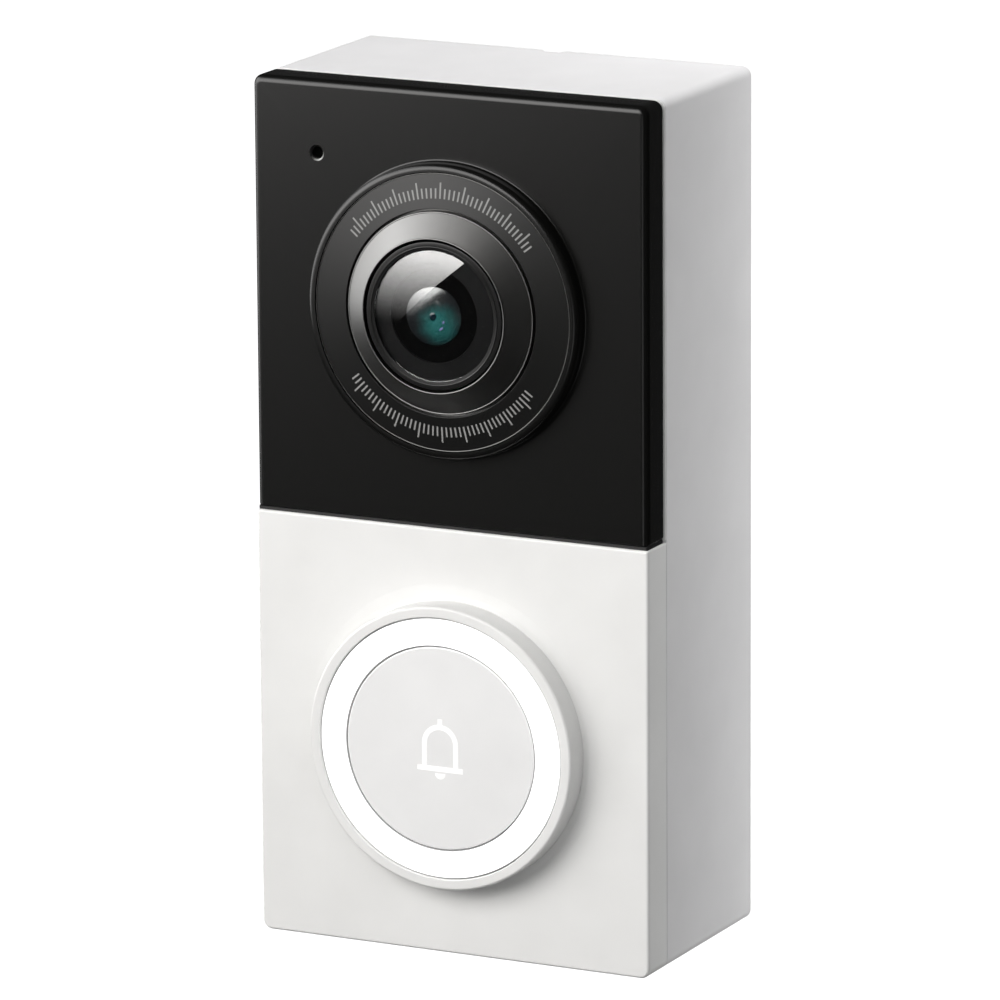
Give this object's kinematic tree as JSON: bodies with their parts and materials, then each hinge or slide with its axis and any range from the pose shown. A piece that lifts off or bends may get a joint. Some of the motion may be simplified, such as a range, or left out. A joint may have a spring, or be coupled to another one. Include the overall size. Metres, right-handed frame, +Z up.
{
  "type": "video doorbell",
  "caption": "Wall-mounted video doorbell with a camera above a ring-lit round push button, on a wall plate that it tilts off.",
  "frame": {"origin": "centre of the wall plate's rear face, which lies on the wall", "axes": "+Y into the wall, -Y out of the front, +Z up, +X to the right of someone facing the doorbell"},
  "size_m": [0.065, 0.0426, 0.132],
  "materials": {
    "white_shell": "fine satin moulding texture",
    "white_front": "smooth satin white",
    "cover_black": "deep semi-gloss black",
    "trim_charcoal": "smooth charcoal with printed ticks",
    "cone_graphite": "graphite anodised, satin",
    "ring_black": "semi-gloss black",
    "lens_glass": "coated polished glass",
    "optics_black": "matt anti-glare black",
    "filter_tint": "coated infrared-cut glass",
    "cap_grey": "flat satin light grey",
    "icon_white": "white inlay",
    "light_guide": "milky translucent light guide",
    "silicone_grey": "translucent grey silicone",
    "rubber_white": "soft matt off-white rubber",
    "rubber_black": "soft black rubber",
    "plate_grey": "fine textured grey",
    "latch_steel": "spring steel",
    "screw_steel": "zinc plated",
    "board_green": "solder-masked circuit board",
    "board_white": "white solder-masked circuit board",
    "chip_dark": "polished sensor face",
    "shield_tin": "tinned sheet",
    "antenna_copper": "copper foil on film",
    "cell_wrap": "blue shrink wrap over the cell can",
    "nickel": "nickel plated",
    "magnet_dark": "ground magnet",
    "plastic_black": "matt black moulding",
    "stem_brown": "matt brown stem",
    "plastic_grey": "matt grey moulding",
    "terminal_brass": "machined brass",
    "ir_lens": "clear tinted LED lens"
  },
  "bodies": {
    "wall_plate": {"wall_plate": "plate_grey", "latch_spring": "latch_steel"},
    "housing": {"rear_housing": "white_shell", "housing_seal": "rubber_black", "front_frame": "white_front", "camera_cover": "cover_black", "lens_trim_disc": "trim_charcoal", "lens_cone_ring": "cone_graphite", "lens_retaining_ring": "ring_black", "lens_dome": "lens_glass", "iris_ring": "optics_black", "front_lens": "lens_glass", "rear_lens": "lens_glass", "lens_barrel": "optics_black", "lens_holder": "optics_black", "ir_filter_frame": "plastic_black", "image_sensor": "chip_dark", "camera_board": "board_green", "ir_led_board": "board_green", "ir_led_1": "ir_lens", "ir_led_2": "ir_lens", "ir_led_3": "ir_lens", "ir_led_4": "ir_lens", "light_sensor": "chip_dark", "microphone": "nickel", "microphone_gasket": "rubber_black", "main_board": "board_green", "processor_shield": "shield_tin", "radio_shield": "shield_tin", "wifi_antenna": "antenna_copper", "led_ring_board": "board_white", "light_ring": "light_guide", "button_membrane": "silicone_grey", "tact_switch": "plastic_black", "battery_cell_left": "cell_wrap", "battery_cell_right": "cell_wrap", "battery_holder": "plastic_black", "battery_contact_top": "nickel", "battery_contact_bottom": "nickel", "speaker_driver": "plastic_black", "speaker_box": "plastic_black", "usb_socket": "nickel", "port_board": "board_green", "terminal_block": "plastic_black", "terminal_screw_left": "terminal_brass", "terminal_screw_right": "terminal_brass", "case_screw_1": "screw_steel", "case_screw_2": "screw_steel", "case_screw_3": "screw_steel", "case_screw_4": "screw_steel"},
    "button": {"button_cap": "cap_grey", "bell_icon": "icon_white"},
    "switch_stem": {"switch_stem": "stem_brown"},
    "port_cover": {"port_cover": "rubber_white"},
    "reset_button": {"reset_button": "plastic_grey"},
    "filter_tray": {"ir_filter_tray": "plastic_grey", "ir_filter_glass": "filter_tint"},
    "filter_rotor": {"ir_filter_rotor": "magnet_dark"}
  },
  "joints": [
    {"name": "tilt_off", "type": "hinge", "parent": "wall_plate", "child": "housing", "pos_m": [0, -0.0005, -0.066], "axis": [1, 0, 0], "range_deg": [0, 20], "deforming": ["latch_spring"]},
    {"name": "button_press", "type": "slide", "parent": "housing", "child": "button", "axis": [0, 1, 0], "range_m": [0, 0.0007], "stiffness_N_per_m": 3000, "springref_m": -0.0003, "deforming": ["button_membrane"]},
    {"name": "switch_press", "type": "slide", "parent": "housing", "child": "switch_stem", "axis": [0, 1, 0], "range_m": [0, 0.0003]},
    {"name": "port_cover_swing", "type": "hinge", "parent": "housing", "child": "port_cover", "pos_m": [0, -0.0057, -0.066], "axis": [1, 0, 0], "range_deg": [0, 95]},
    {"name": "reset_press", "type": "slide", "parent": "housing", "child": "reset_button", "axis": [0, 0, 1], "range_m": [0, 0.0005], "stiffness_N_per_m": 1500, "springref_m": -0.0002},
    {"name": "filter_slide", "type": "slide", "parent": "housing", "child": "filter_tray", "axis": [1, 0, 0], "range_m": [0, 0.0074]},
    {"name": "filter_crank", "type": "hinge", "parent": "housing", "child": "filter_rotor", "pos_m": [0, -0.021, 0.0496], "axis": [0, -1, 0], "range_deg": [0, 61]}
  ],
  "couplings": [
    {"joint": "switch_press", "follows": "button_press", "ratio": 0.4},
    {"joint": "filter_crank", "follows": "filter_slide", "rad_per_m": 141.5}
  ]
}
